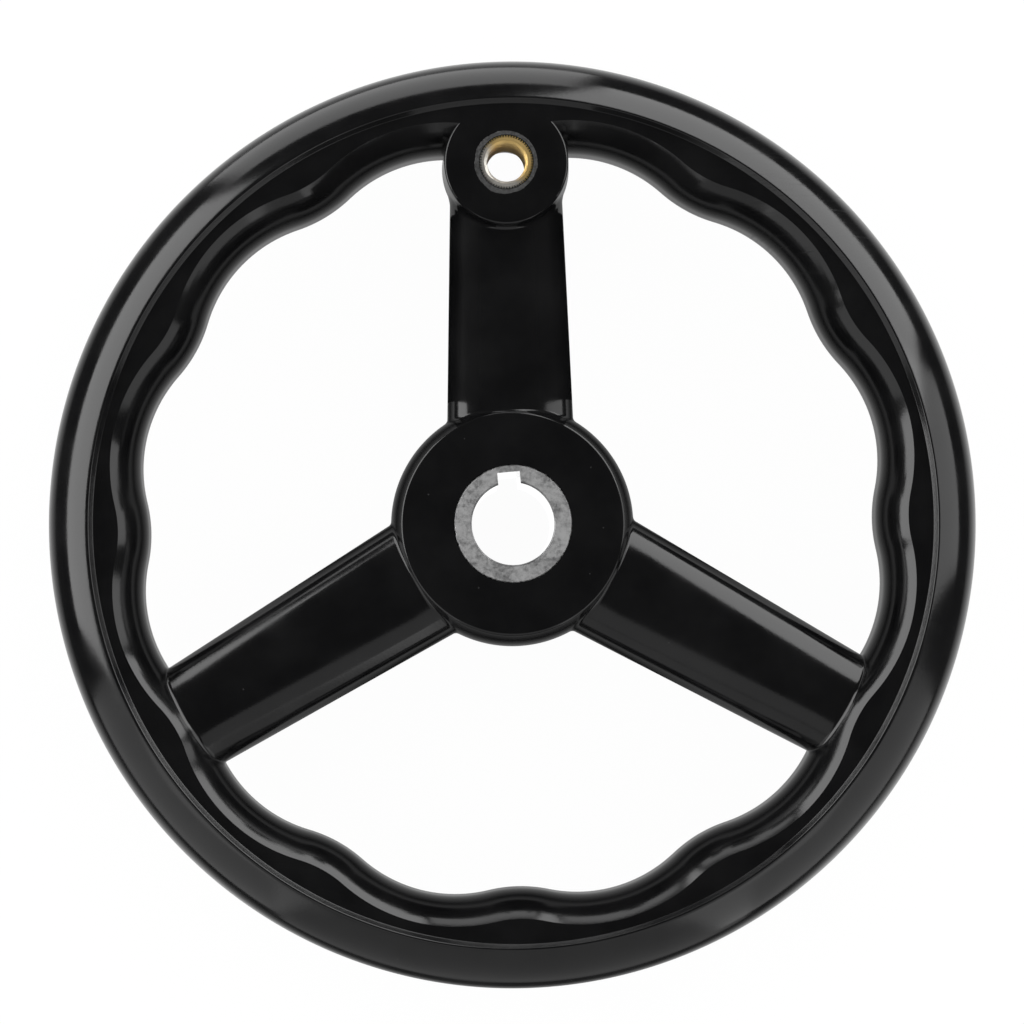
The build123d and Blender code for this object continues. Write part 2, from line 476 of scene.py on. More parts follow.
@dataclass
class Rim:
    """The rim: outer roll, step, ledge and waved inner roll, with a rounded back."""

    wheel_radius: float = 124.99
    roll_radius: float = 18.0
    step_edge: float = 112.86
    step_run: float = 1.2
    step_height: float = 1.54
    edge_round: float = 0.5
    foot_round: float = 0.3
    inner_roll: float = 19.2
    band: float = 0.6
    back_drop: float = 16.0
    back_outer_round: float = 12.0
    back_inner_round: float = 10.5
    edge_sweep: float = 3.0
    steps: int = 432
    waves: FingerWaves = field(default_factory=FingerWaves)

    @property
    def step_edge_rise(self) -> float:
        """Return the height of the step's upper edge."""
        centre = self.wheel_radius - self.roll_radius
        return math.sqrt(self.roll_radius**2 - (self.step_edge - centre) ** 2)

    @property
    def ledge_rise(self) -> float:
        """Return the ledge's height above the parting plane."""
        return self.step_edge_rise - self.step_height

    @property
    def crease_offset(self) -> float:
        """Return how far the crease at the ledge lies out from the rim's inside."""
        lift = self.ledge_rise - self.band
        return self.inner_roll - math.sqrt(self.inner_roll**2 - lift**2)

    def offset_at(self, height: np.ndarray) -> np.ndarray:
        """Find how far the rim's inside has rolled back at each height.

        Args:
            height: Heights above the parting plane.

        Returns:
            The distances outward from the waved line.
        """
        up = np.clip(height - self.band, 0, self.ledge_rise - self.band)
        down = np.clip(self.back_inner_round - self.back_drop - height, 0, self.back_inner_round)
        front = self.inner_roll - np.sqrt(self.inner_roll**2 - up**2)
        back = self.back_inner_round - np.sqrt(self.back_inner_round**2 - down**2)
        return front + back

    def section(self) -> list[Point]:
        """Draw the section at a wave crest, from the crest's inside over the front.

        Returns:
            The points of the closed section.
        """
        crest = self.waves.crest
        centre = (self.wheel_radius - self.roll_radius, 0.0)
        edge = (self.step_edge, self.step_edge_rise)
        foot = (self.step_edge - self.step_run, self.ledge_rise)
        crease = (crest + self.crease_offset, self.ledge_rise)
        climb = math.degrees(math.asin((self.ledge_rise - self.band) / self.inner_roll))
        inner = arc((crest + self.inner_roll, self.band), self.inner_roll, 180, 180 - climb, 16)
        ledge = run(crease, foot, 7)
        low = rounded_corner(crease, foot, edge, self.foot_round, 3)
        edge_angle = math.degrees(math.atan2(edge[1], edge[0] - centre[0]))
        before_edge = arc(centre, self.roll_radius, edge_angle - 2, edge_angle, 1)[0]
        high = rounded_corner(foot, edge, before_edge, self.edge_round, 5)
        outer = arc(centre, self.roll_radius, edge_angle - self.edge_sweep, 0, 26)
        back_start = (self.wheel_radius, self.back_outer_round - self.back_drop)
        outer_back_centre = (self.wheel_radius - self.back_outer_round, back_start[1])
        outer_back = arc(outer_back_centre, self.back_outer_round, 0, -90, 14)
        inner_back_centre = (crest + self.back_inner_round, self.back_inner_round - self.back_drop)
        inner_back = arc(inner_back_centre, self.back_inner_round, -90, -180, 12)
        back = run(outer_back[-1], inner_back[0], 3)
        side = run(outer[-1], back_start, 2)
        inside = run(inner_back[-1], inner[0], 3)
        return joined(inner, ledge, low, high, outer, side, outer_back, back, inner_back, inside)

    def build(self) -> bpy.types.Object:
        """Spin the section and press the finger waves into its inside.

        Returns:
            The closed rim, with its parting plane at zero height.
        """
        piece = turn_on_lathe("rim_blank", self.section(), self.steps)
        places = coordinates(piece) / MM
        radius, theta = polar(places)
        line, inward = self.waves.at(theta)
        depth = radius - self.waves.crest
        front = places[:, 2] > 0
        hold = np.where(front, self.crease_offset, self.back_inner_round)
        outer = np.where(
            front,
            self.step_edge - self.step_run - self.foot_round,
            self.wheel_radius - self.back_outer_round,
        )
        rolled = line + inward * np.minimum(depth, hold)[:, None]
        held = self.waves.crest + hold
        share = np.clip((radius - held) / (outer - held), 0, 1)
        flat = places[:, :2] * (outer / radius)[:, None]
        waved = rolled * (1 - share)[:, None] + flat * share[:, None]
        inside = radius < outer
        places[inside, :2] = waved[inside]
        place_vertices(piece, places * MM)
        return piece


@dataclass
class Hub:
    """The barrel-shaped hub with its straight pocket for the bush."""

    girth: float = 32.7
    face_inset: float = 3.0
    face_rise: float = 13.0
    back_inset: float = 2.2
    back_drop: float = PARTING
    edge_round: float = 1.0
    pocket: float = 15.77
    steps: int = 216

    def outside(self) -> list[Point]:
        """Draw the hub's outside from its back edge up to its face edge.

        Returns:
            The points of the open line.
        """
        front = (self.face_inset**2 + self.face_rise**2) / (2 * self.face_inset)
        back = (self.back_inset**2 + self.back_drop**2) / (2 * self.back_inset)
        front_end = math.degrees(math.asin(self.face_rise / front))
        back_end = math.degrees(math.asin(self.back_drop / back))
        upper = arc((self.girth - front, 0), front, 0, front_end, 24)
        lower = arc((self.girth - back, 0), back, -back_end, 0, 12)
        face_edge = upper[-1]
        back_edge = lower[0]
        top = rounded_corner(upper[-3], face_edge, (0, self.face_rise), self.edge_round, 8)
        base = rounded_corner((0, -self.back_drop), back_edge, lower[1], self.edge_round, 6)
        clear = self.edge_round * 1.05
        upper = [p for p in upper if math.dist(p, face_edge) > clear]
        lower = [p for p in lower if math.dist(p, back_edge) > clear]
        return joined(base, lower, upper, top)

    def build(self) -> bpy.types.Object:
        """Spin the hub's section.

        Returns:
            The closed hub with its pocket.
        """
        outside = self.outside()
        corners = [(self.pocket, self.face_rise), (self.pocket, -self.back_drop)]
        face = run(outside[-1], corners[0], 6)
        wall = run(corners[0], corners[1], 4)
        back = run(corners[1], outside[0], 6)
        section = joined(outside, face, corners[:1], wall, corners[1:], back)
        return turn_on_lathe("hub_blank", section, self.steps)

    def wall_ahead(self, across: np.ndarray, height: np.ndarray) -> np.ndarray:
        """Find how far from the wheel axis the hub's outside lies along a spoke.

        Args:
            across: Distances sideways from the spoke's axis.
            height: Heights above the parting plane.

        Returns:
            The distances along the spoke.
        """
        outline = np.asarray(self.outside())
        radius = np.interp(height, outline[:, 1], outline[:, 0])
        return root_of(radius**2 - across**2, least=1.0)


@dataclass
class HandleBoss:
    """The boss that takes the handle's thread, level with the ledge."""

    girth: float = 17.1
    face_inset: float = 0.6
    face_rise: float = 15.5
    back_inset: float = 0.8
    back_drop: float = 12.6
    edge_round: float = 0.8
    back_round: float = 2.0
    seat_radius: float = 7.17
    seat_depth: float = 18.0
    hole_radius: float = 6.6
    drill_reach: float = 5.0
    steps: int = 144

    def outside(self) -> list[Point]:
        """Draw the boss's outside from its back edge up to its face edge.

        Returns:
            The points of the open line.
        """
        face_edge = (self.girth - self.face_inset, self.face_rise)
        back_edge = (self.girth - self.back_inset, -self.back_drop)
        girth = (self.girth, 0.0)
        base = rounded_corner((0, -self.back_drop), back_edge, girth, self.back_round, 8)
        top = rounded_corner(girth, face_edge, (0, self.face_rise), self.edge_round, 7)
        lower = run(base[-1], girth, 4)
        upper = run(girth, top[0], 6)
        return joined(base, lower, [girth], upper, top)

    def build(self) -> bpy.types.Object:
        """Spin the boss's section and move it out to its place.

        Returns:
            The closed boss, not yet drilled.
        """
        outside = self.outside()
        face = run(outside[-1], (0.0, self.face_rise), 5)
        back = run((0.0, -self.back_drop), outside[0], 4)
        axis = [(0.0, self.face_rise), (0.0, -self.back_drop)]
        piece = turn_on_lathe("boss_blank", joined(outside, face, axis, back), self.steps)
        move_to_boss(piece)
        return piece

    def drill(self) -> bpy.types.Object:
        """Make the tool that bores the insert's seat and the hole behind it.

        Returns:
            The closed tool, which reaches past both faces of the boss.
        """
        floor = self.face_rise - self.seat_depth
        top = self.face_rise + self.drill_reach
        bottom = -self.back_drop - self.drill_reach
        seat, hole = self.seat_radius, self.hole_radius
        section = [(0, top), (seat, top), (seat, floor), (hole, floor), (hole, bottom), (0, bottom)]
        piece = turn_on_lathe("boss_drill", joined(section), self.steps)
        move_to_boss(piece)
        return piece

    def wall_ahead(self, across: np.ndarray, height: np.ndarray) -> np.ndarray:
        """Find how far from the wheel axis the boss's near side lies along a spoke.

        Args:
            across: Distances sideways from the spoke's axis.
            height: Heights above the parting plane.

        Returns:
            The distances along the spoke.
        """
        outline = np.asarray(self.outside())
        radius = np.interp(height, outline[:, 1], outline[:, 0])
        return BOSS_PITCH - root_of(radius**2 - across**2, least=0.5)


@dataclass
class Spoke:
    """One oval spoke, filleted into the hub and into the rim or the boss.

    A fillet's first two loops are buried in the wall, so that the spoke and the wall overlap.
    """

    root_radius: float = 22.7
    tip_radius: float = 103.9
    root_width: float = 34.2
    tip_width: float = 29.4
    side_rise: float = 1.6
    side_round: float = 8.8
    crown_lift: float = 1.6
    back_side_drop: float = 1.0
    back_side_round: float = 7.0
    back_crown_lift: float = 2.0
    hub_fillet: float = 0.9
    rim_fillet: float = 0.9
    boss_fillet: float = 1.7
    seam_height: float = 0.4
    buried_lift: float = -1.5
    buried_depth: float = 4.0
    shallow_depth: float = 0.2
    first_reach: float = 60.0
    passes: int = 4
    front_steps: tuple[int, int] = (18, 26)
    back_steps: tuple[int, int] = (10, 14)
    fillet_rows: int = 9
    middle_rows: int = 12

    @staticmethod
    def half_face(
        half: float, side: float, side_round: float, lift: float, steps: tuple[int, int]
    ) -> list[tuple[Point, float]]:
        """Draw one face of the section from its right side over the crest to its left side.

        Args:
            half: Half the spoke's width.
            side: The height at which the side round starts.
            side_round: The side round's radius.
            lift: How far the crest stands above the side round.
            steps: The steps in each side round and in the crown.

        Returns:
            Each point with the angle of its outward direction, in radians.
        """
        inset = half - side_round
        crown = (inset**2 + 2 * side_round * lift + lift**2) / (2 * lift)
        centre = side + side_round + lift - crown
        lean = math.degrees(math.atan2(side - centre, inset))
        right = arc((inset, side), side_round, 0, lean, steps[0])
        top = arc((0, centre), crown, lean, 180 - lean, steps[1])
        left = arc((-inset, side), side_round, 180 - lean, 180, steps[0])
        turns = [lean * i / steps[0] for i in range(steps[0] + 1)]
        turns += [lean + (180 - 2 * lean) * i / steps[1] for i in range(1, steps[1] + 1)]
        turns += [180 - lean + lean * i / steps[0] for i in range(1, steps[0] + 1)]
        points = right + top[1:] + left[1:]
        return [(p, math.radians(t)) for p, t in zip(points, turns)]

    def section(self, width: float) -> tuple[np.ndarray, np.ndarray]:
        """Draw the whole section at a width.

        Args:
            width: The spoke's width.

        Returns:
            The points across and up, and their outward directions.
        """
        half = width / 2
        rise, drop = self.side_rise, self.back_side_drop
        front = self.half_face(half, rise, self.side_round, self.crown_lift, self.front_steps)
        back = self.half_face(half, drop, self.back_side_round, self.back_crown_lift, self.back_steps)
        points = [p for p, _ in front] + [(-half, self.seam_height)]
        turns = [t for _, t in front] + [math.pi]
        for (x, y), t in reversed(back):
            points.append((x, -y))
            turns.append(-t)
        points.append((half, self.seam_height))
        turns.append(0.0)
        ways = np.column_stack([np.cos(turns), np.sin(turns)])
        return np.asarray(points), ways

    def row(self, wall: Wall, lift: float, back: float, lean: float) -> np.ndarray:
        """Place one loop of the spoke near a wall.

        Args:
            wall: Gives the wall's distance from the wheel axis at a place across and up.
            lift: How far the loop stands out from the plain spoke.
            back: How far the loop lies behind the wall, against the way to the axis.
            lean: How much of the wall's place comes from the lifted loop, from 0 to 1.

        Returns:
            The loop's points in millimetres.
        """
        root, ways = self.section(self.root_width)
        tip, _ = self.section(self.tip_width)
        along = np.full(len(root), self.first_reach)
        for _ in range(self.passes):
            share = ((along - self.root_radius) / (self.tip_radius - self.root_radius))[:, None]
            plain = root * (1 - share) + tip * share
            lifted = plain + ways * lift
            far = wall(lifted[:, 0], lifted[:, 1])
            near = wall(plain[:, 0], plain[:, 1])
            along = near * (1 - lean) + far * lean + back
        return np.column_stack([lifted[:, 0], along, lifted[:, 1]])

    def fillet(self, wall: Wall, size: float, sign: int) -> list[np.ndarray]:
        """Return the loops of a fillet, from inside the wall out to the plain spoke.

        Args:
            wall: Gives the wall's distance from the wheel axis at a place across and up.
            size: The fillet's size.
            sign: 1 where the spoke runs outward from the wall, -1 where it runs into it.

        Returns:
            The loops in order.
        """
        base = self.row(wall, 0.0, 0.0, 0.0)
        end = self.row(wall, size, 0.0, 1.0)
        deep = self.row(wall, self.buried_lift, -sign * self.buried_depth, 0.0)
        loops = [deep, self.row(wall, size, -sign * self.shallow_depth, 1.0)]
        start = base + np.array([0, sign * size, 0])
        for i in range(self.fillet_rows, -1, -1):
            t = i / self.fillet_rows
            loops.append(start * (1 - t) ** 2 + base * 2 * t * (1 - t) + end * t**2)
        return loops

    def build(self, hub: Hub, rim: Rim, boss: HandleBoss, end: SpokeEnd) -> bpy.types.Object:
        """Build one spoke along +Y.

        Args:
            hub: The hub that it grows from.
            rim: The rim that it runs into.
            boss: The boss that it may run into instead.
            end: Whether it ends in the rim or in the boss.

        Returns:
            The closed spoke.
        """

        def rim_wall(across: np.ndarray, height: np.ndarray) -> np.ndarray:
            """Return where the rim's inside lies ahead."""
            return rim.waves.wall_ahead(across, rim.offset_at(height))

        inner = self.fillet(hub.wall_ahead, self.hub_fillet, 1)
        if end is SpokeEnd.RIM:
            outer = self.fillet(rim_wall, self.rim_fillet, -1)
        else:
            outer = self.fillet(boss.wall_ahead, self.boss_fillet, -1)
        first, last = inner[-1], outer[-1]
        count = self.middle_rows
        middle = [first + (last - first) * i / count for i in range(1, count)]
        rows = np.stack(inner + middle + outer[::-1])
        return roll_up_grid("spoke_" + end.value, rows)


@dataclass
class WheelBody:
    """The one-piece black moulding."""

    rim: Rim = field(default_factory=Rim)
    hub: Hub = field(default_factory=Hub)
    boss: HandleBoss = field(default_factory=HandleBoss)
    spoke: Spoke = field(default_factory=Spoke)
    spoke_count: int = 3
    smooth_angle: float = 24.0

    def build(self) -> bpy.types.Object:
        """Join rim, hub, boss and spokes, and bore the insert's seat.

        Returns:
            The finished mesh with the hub's back on the floor.
        """
        body = self.rim.build()
        combine(body, self.boss.build(), Combination.JOIN)
        star = self.hub.build()
        for i in range(self.spoke_count):
            end = SpokeEnd.BOSS if i == 0 else SpokeEnd.RIM
            arm = self.spoke.build(self.hub, self.rim, self.boss, end)
            move_mesh(arm, Matrix.Rotation(math.tau * i / self.spoke_count, 4, "Z"))
            combine(star, arm, Combination.JOIN)
        combine(body, star, Combination.JOIN)
        combine(body, self.boss.drill(), Combination.CUT)
        body.name = "moulded_wheel_body"
        move_mesh(body, Matrix.Translation((0, 0, PARTING * MM)))
        smooth_by_angle(body, self.smooth_angle)
        return body

    def dress(self, body: bpy.types.Object) -> None:
        """Give the moulding its polished black finish."""
        finish_piece(body, PolishedPhenolic().material(), "wheel_body")


# Metal pieces


@dataclass
class HubBush:
    """The turned steel bush with its keyway."""

    outer: float = 15.75
    bore: float = 11.0
    length: float = 40.0
    bore_chamfer: float = 0.4
    edge_chamfer: float = 0.3
    keyway_width: float = 6.0
    keyway_depth: float = 2.8
    keyway_angle: float = 4.0
    chip_waves: tuple[int, ...] = (5, 11, 23, 37, 61, 83)
    chip_depth: float = 0.09
    smooth_angle: float = 25.0
    steps: int = 288

    def section(self) -> list[Point]:
        """Draw the bush's wall with its chamfers.

        Returns:
            The points of the closed section, its long runs divided.
        """
        top, bore, outer = self.length, self.bore, self.outer
        inner_face = bore + self.bore_chamfer
        outer_face = outer - self.edge_chamfer
        corners = [
            (bore, self.bore_chamfer),
            (inner_face, 0.0),
            (outer_face, 0.0),
            (outer, self.edge_chamfer),
            (outer, top - self.edge_chamfer),
            (outer_face, top),
            (inner_face, top),
            (bore, top - self.bore_chamfer),
        ]
        parts: list[Sequence[Point]] = []
        for i, corner in enumerate(corners):
            following = corners[(i + 1) % len(corners)]
            parts.append([corner])
            parts.append(run(corner, following, 6 if math.dist(corner, following) > 2 else 1))
        return joined(*parts)

    def keyway_cutter(self) -> bpy.types.Object:
        """Make the bar that cuts the keyway through the whole bush.

        Returns:
            The closed bar, turned to the keyway's place.
        """
        reach = self.bore + self.keyway_depth
        deselect_everything()
        bpy.ops.mesh.primitive_cube_add(size=MM)
        bar = bpy.context.object
        size = Matrix.Diagonal((self.keyway_width, reach, self.length * 1.4, 1))
        move_mesh(bar, Matrix.Translation((0, reach / 2 * MM, self.length / 2 * MM)) @ size)
        move_mesh(bar, Matrix.Rotation(math.radians(self.keyway_angle), 4, "Z"))
        return bar

    def chip_edge(self, bush: bpy.types.Object) -> None:
        """Make the bush's upper outside edge a little ragged.

        Args:
            bush: The turned bush.
        """
        places = coordinates(bush) / MM
        radius, theta = polar(places)
        edge = (radius > self.outer - self.edge_chamfer - 0.05) & (places[:, 2] > self.length - 1)
        chip = sum(np.sin(waves * theta + 2 * waves) for waves in self.chip_waves)
        cut = self.chip_depth * np.clip(chip - 1.0, 0, 2)
        places[edge, :2] *= (1 - cut / radius)[edge, None]
        place_vertices(bush, places * MM)

    def build(self) -> bpy.types.Object:
        """Turn the bush, chip its edge and cut its keyway.

        Returns:
            The finished mesh.
        """
        bush = turn_on_lathe("steel_hub_bush", self.section(), self.steps)
        self.chip_edge(bush)
        combine(bush, self.keyway_cutter(), Combination.CUT)
        smooth_by_angle(bush, self.smooth_angle)
        return bush

    def dress(self, bush: bpy.types.Object) -> None:
        """Give the bush its turned steel finish."""
        finish_piece(bush, TurnedSteel().material(), "hub_bush")


@dataclass
class HandleInsert:
    """The knurled brass insert with its thread."""

    top: float = 42.5
    length: float = 18.0
    tip: float = 7.15
    knurl_depth: float = 0.65
    teeth: int = 60
    groove_slope: float = 2.2
    groove_land: float = 0.5
    mouth: float = 5.75
    core: float = 5.1
    thread_depth: float = 0.85
    thread_pitch: float = 1.75
    thread_crest: float = 1.25
    thread_slope: float = 3.2
    thread_rows: int = 120
    smooth_angle: float = 30.0
    steps: int = 360

    def section(self) -> list[Point]:
        """Draw the insert's wall, its inside finely divided for the thread.

        Returns:
            The points of the closed section.
        """
        top, bottom = self.top, self.top - self.length
        corners = [(self.mouth, top), (self.tip, top), (self.tip, bottom), (self.mouth, bottom)]
        parts: list[Sequence[Point]] = []
        for i, steps in enumerate((3, 4, 3, self.thread_rows)):
            parts.append([corners[i]])
            parts.append(run(corners[i], corners[(i + 1) % len(corners)], steps))
        return joined(*parts)

    def build(self) -> bpy.types.Object:
        """Spin the wall, press the knurl outside and cut the thread inside.

        Returns:
            The insert in its place in the boss.
        """
        insert = turn_on_lathe("brass_handle_insert", self.section(), self.steps)
        places = coordinates(insert) / MM
        radius, theta = polar(places)
        height = places[:, 2]
        outer = radius > self.tip - 0.01
        groove = np.abs(np.mod(theta * self.teeth / math.tau, 1) - 0.5) * 2
        groove = np.clip(groove * self.groove_slope - self.groove_land, 0, 1)
        new_radius = radius.copy()
        new_radius[outer] -= self.knurl_depth * groove[outer]
        inner = radius < self.mouth + 0.01
        turn = np.mod((self.top - height) / self.thread_pitch + theta / math.tau, 1)
        flank = np.clip(self.thread_crest - np.abs(turn - 0.5) * self.thread_slope, 0, 1)
        threaded = self.core + self.thread_depth * flank
        depth = np.minimum(self.top - height, height - self.top + self.length)
        new_radius[inner] = np.maximum(threaded, self.mouth - depth)[inner]
        places[:, :2] *= (new_radius / radius)[:, None]
        place_vertices(insert, places * MM)
        move_to_boss(insert)
        smooth_by_angle(insert, self.smooth_angle)
        return insert

    def dress(self, insert: bpy.types.Object) -> None:
        """Give the insert its brass finish."""
        finish_piece(insert, TarnishedBrass().material(), "handle_insert")


@dataclass
class InsertFlash:
    """The thin ragged skin of moulding material round the insert.

    Each ripple of its outer edge has a number of waves, a height and a starting angle.
    """

    inner: float = 7.28
    outer: float = 8.4
    base: float = 42.48
    top: float = 42.54
    edge_slope: float = 0.15
    ripples: tuple[tuple[int, float, float], ...] = (
        (1, 0.30, -math.radians(205)), (3, 0.14, -0.6), (7, 0.12, 1.1), (13, 0.07, 2.0),
        (29, 0.05, 29), (47, 0.045, 47), (71, 0.04, 71), (113, 0.03, 113),
    )
    steps: int = 360

    def build(self) -> bpy.types.Object:
        """Spin a thin ring and pull its outer edge out of round.

        Returns:
            The ring in its place on the boss.
        """
        section = [
            (self.outer, self.base),
            (self.outer - self.edge_slope, self.top),
            (self.inner, self.top),
            (self.inner, self.base),
        ]
        ring = turn_on_lathe("insert_flash", section, self.steps)
        places = coordinates(ring) / MM
        radius, theta = polar(places)
        swell = sum(height * np.cos(waves * theta + start) for waves, height, start in self.ripples)
        outer = radius > self.inner + 1
        places[outer, :2] *= (1 + swell / radius)[outer, None]
        place_vertices(ring, places * MM)
        move_to_boss(ring)
        return ring

    def dress(self, ring: bpy.types.Object) -> None:
        """Give the skin its dull grey finish."""
        finish_piece(ring, DullSkin().material())


# Finishes


class NodeSheet:
    """A material's node tree with short calls to add and link nodes."""

    def __init__(self, name: str) -> None:
        """Make a new node material with only its shader and its output.

        Args:
            name: The material's name.
        """
        self.material = bpy.data.materials.new(name)
        self.material.use_nodes = True
        self.tree = self.material.node_tree
        self.shader = self.tree.nodes["Principled BSDF"]
        places = self.add("ShaderNodeTexCoord")
        self.object_point = places.outputs["Object"]
        self.object_normal = places.outputs["Normal"]

    def add(self, kind: str, **values: object) -> bpy.types.Node:
        """Add a node and set its sockets and its options.

        Args:
            kind: The node's type name.
            values: Socket names, with underscores for spaces, or option names.

        Returns:
            The new node.
        """
        node = self.tree.nodes.new(kind)
        for name, value in values.items():
            socket = node.inputs.get(name.replace("_", " "))
            if socket is not None:
                socket.default_value = value
            else:
                setattr(node, name, value)
        return node

    def link(self, source: Socket, target: Socket) -> None:
        """Join an output to an input."""
        self.tree.links.new(source, target)

    def paint(self, colour: Socket) -> None:
        """Use a colour as the shader's own."""
        self.link(colour, self.shader.inputs["Base Color"])

    def settle(self, **values: float | Sequence[float]) -> None:
        """Set sockets of the shader, their names written with underscores for spaces."""
        for name, value in values.items():
            self.shader.inputs[name.replace("_", " ")].default_value = value

    def vector(self, operation: str, source: Socket, other: Triple | None = None) -> bpy.types.Node:
        """Work on a vector.

        Args:
            operation: The vector operation's name.
            source: The vector.
            other: The second vector, where the operation takes one.

        Returns:
            The new node.
        """
        node = self.add("ShaderNodeVectorMath", operation=operation)
        self.link(source, node.inputs[0])
        if other is not None:
            node.inputs[1].default_value = other
        return node

    def distance_from(self, source: Socket, point: Triple) -> Socket:
        """Return how far a place lies from a point, in metres."""
        return self.vector("DISTANCE", source, point).outputs["Value"]

    def noise(self, scale: float, detail: float = 2.0, roughness: float = 0.5) -> Socket:
        """Lay an even noise over the piece.

        Args:
            scale: How many of its cells lie in a metre.
            detail: How many finer layers it has.
            roughness: How strong the finer layers are.

        Returns:
            The noise, mostly between 0.3 and 0.7.
        """
        node = self.add("ShaderNodeTexNoise", Scale=scale, Detail=detail, Roughness=roughness)
        self.link(self.object_point, node.inputs["Vector"])
        return node.outputs["Fac"]

    def spread(
        self, source: Socket, low: float, high: float, to_low: float = 0, to_high: float = 1
    ) -> Socket:
        """Map a range of a value to another range, held at its ends.

        Args:
            source: The value.
            low: Where the range starts.
            high: Where it ends.
            to_low: What its start becomes.
            to_high: What its end becomes.

        Returns:
            The mapped value.
        """
        node = self.add("ShaderNodeMapRange", From_Min=low, From_Max=high)
        node.inputs["To Min"].default_value = to_low
        node.inputs["To Max"].default_value = to_high
        self.link(source, node.inputs["Value"])
        return node.outputs["Result"]

    def math(self, operation: str, first: Socket, second: Socket | float = 0.0) -> Socket:
        """Combine two values by an operation.

        Args:
            operation: The operation's name.
            first: The first value.
            second: The second value, where the operation takes one.

        Returns:
            The result.
        """
        node = self.add("ShaderNodeMath", operation=operation)
        self.link(first, node.inputs[0])
        if isinstance(second, Socket):
            self.link(second, node.inputs[1])
        else:
            node.inputs[1].default_value = second
        return node.outputs[0]

    def blend_colours(self, share: Socket, first: Socket | Colour, second: Colour) -> Socket:
        """Blend between two colours by a share.

        Args:
            share: How much of the second colour shows, from 0 to 1.
            first: The first colour.
            second: The second colour.

        Returns:
            The blended colour.
        """
        node = self.add("ShaderNodeMix", data_type="RGBA")
        ends = [socket for socket in node.inputs if socket.type == "RGBA"]
        self.link(share, node.inputs[0])
        if isinstance(first, Socket):
            self.link(first, ends[0])
        else:
            ends[0].default_value = (*first, 1)
        ends[1].default_value = (*second, 1)
        return next(socket for socket in node.outputs if socket.type == "RGBA")

    def mix_shaders(self, share: Socket, first: Socket, second: Socket) -> Socket:
        """Mix two shaders by a share.

        Args:
            share: How much of the second shader shows, from 0 to 1.
            first: The first shader.
            second: The second shader.

        Returns:
            The mixed shader.
        """
        node = self.add("ShaderNodeMixShader")
        self.link(share, node.inputs[0])
        self.link(first, node.inputs[1])
        self.link(second, node.inputs[2])
        return node.outputs[0]

    def bump(self, height: Socket, strength: float, distance: float) -> None:
        """Let a height raise and lower the surface.

        Args:
            height: The height.
            strength: How much of it shows, from 0 to 1.
            distance: The surface's full rise, in metres.
        """
        node = self.add("ShaderNodeBump", Strength=strength, Distance=distance)
        self.link(height, node.inputs["Height"])
        self.link(node.outputs["Normal"], self.shader.inputs["Normal"])


@dataclass(frozen=True)
class PolishedPhenolic:
    """Glossy black phenolic with fine handling marks."""

    dark: Colour = (0.0022, 0.0022, 0.0024)
    pale: Colour = (0.0042, 0.0042, 0.0044)
    smooth: float = 0.10
    rough: float = 0.17
    ior: float = 1.56
    speck: Colour = (0.022, 0.022, 0.022)
    specks: tuple[Point, ...] = (
        (-12.5, 22.9), (21.0, 14.6), (-9.5, -16.9), (20.2, -13.7), (6.7, 116.7), (-72.7, -42.7),
        (-33.1, -115.4), (24.0, -1.5), (-22.4, 8.2), (41.0, -32.5),
    )
    speck_core: float = 0.00010
    speck_edge: float = 0.00022
    speck_growth: float = 0.00004
    scratched: Triple = (0.078, 0.082, 0.040)
    scratch_reach: Point = (0.012, 0.034)
    scratch_roughness: float = 0.13
    scratch_turn: float = -46.0
    scratch_scale: Triple = (90.0, 2600.0, 90.0)

    def material(self) -> bpy.types.Material:
        """Mix the finish.

        Returns:
            The finish as a node material.
        """
        sheet = NodeSheet("polished_black_phenolic")
        cloud = sheet.noise(70.0, 4.0, 0.55)
        colour = sheet.blend_colours(sheet.spread(cloud, 0.35, 0.7), self.dark, self.pale)
        sheet.paint(sheet.blend_colours(self.dust(sheet), colour, self.speck))
        haze = sheet.spread(cloud, 0.3, 0.7, self.smooth, self.rough)
        haze = sheet.math("ADD", haze, self.scratches(sheet))
        sheet.link(haze, sheet.shader.inputs["Roughness"])
        sheet.settle(IOR=self.ior)
        sheet.bump(sheet.noise(1400.0, 3.0, 0.6), 0.04, 0.0002)
        return sheet.material

    def dust(self, sheet: NodeSheet) -> Socket:
        """Mark where the few grey specks lie.

        Args:
            sheet: The material's node tree.

        Returns:
            1 on a speck and 0 elsewhere.
        """
        flat = sheet.vector("MULTIPLY", sheet.object_point, (1.0, 1.0, 0.0)).outputs[0]
        spots = []
        for i, (x, y) in enumerate(self.specks):
            gap = sheet.distance_from(flat, (x * MM, y * MM, 0.0))
            edge = self.speck_edge + self.speck_growth * (i % 3)
            spots.append(sheet.spread(gap, self.speck_core, edge, 1, 0))
        return reduce(lambda total, spot: sheet.math("MAXIMUM", total, spot), spots)

    def scratches(self, sheet: NodeSheet) -> Socket:
        """Lay fine cross scratches on one part of the rim.

        Args:
            sheet: The material's node tree.

        Returns:
            How much rougher the scratches are.
        """
        gap = sheet.distance_from(sheet.object_point, self.scratched)
        region = sheet.spread(gap, *self.scratch_reach, self.scratch_roughness, 0)
        place = sheet.add("ShaderNodeMapping")
        sheet.link(sheet.object_point, place.inputs["Vector"])
        place.inputs["Rotation"].default_value = (0, 0, math.radians(self.scratch_turn))
        place.inputs["Scale"].default_value = self.scratch_scale
        lines = sheet.add("ShaderNodeTexNoise", Scale=1.0, Detail=2.0)
        sheet.link(place.outputs[0], lines.inputs["Vector"])
        return sheet.math("MULTIPLY", sheet.spread(lines.outputs["Fac"], 0.55, 0.70), region)


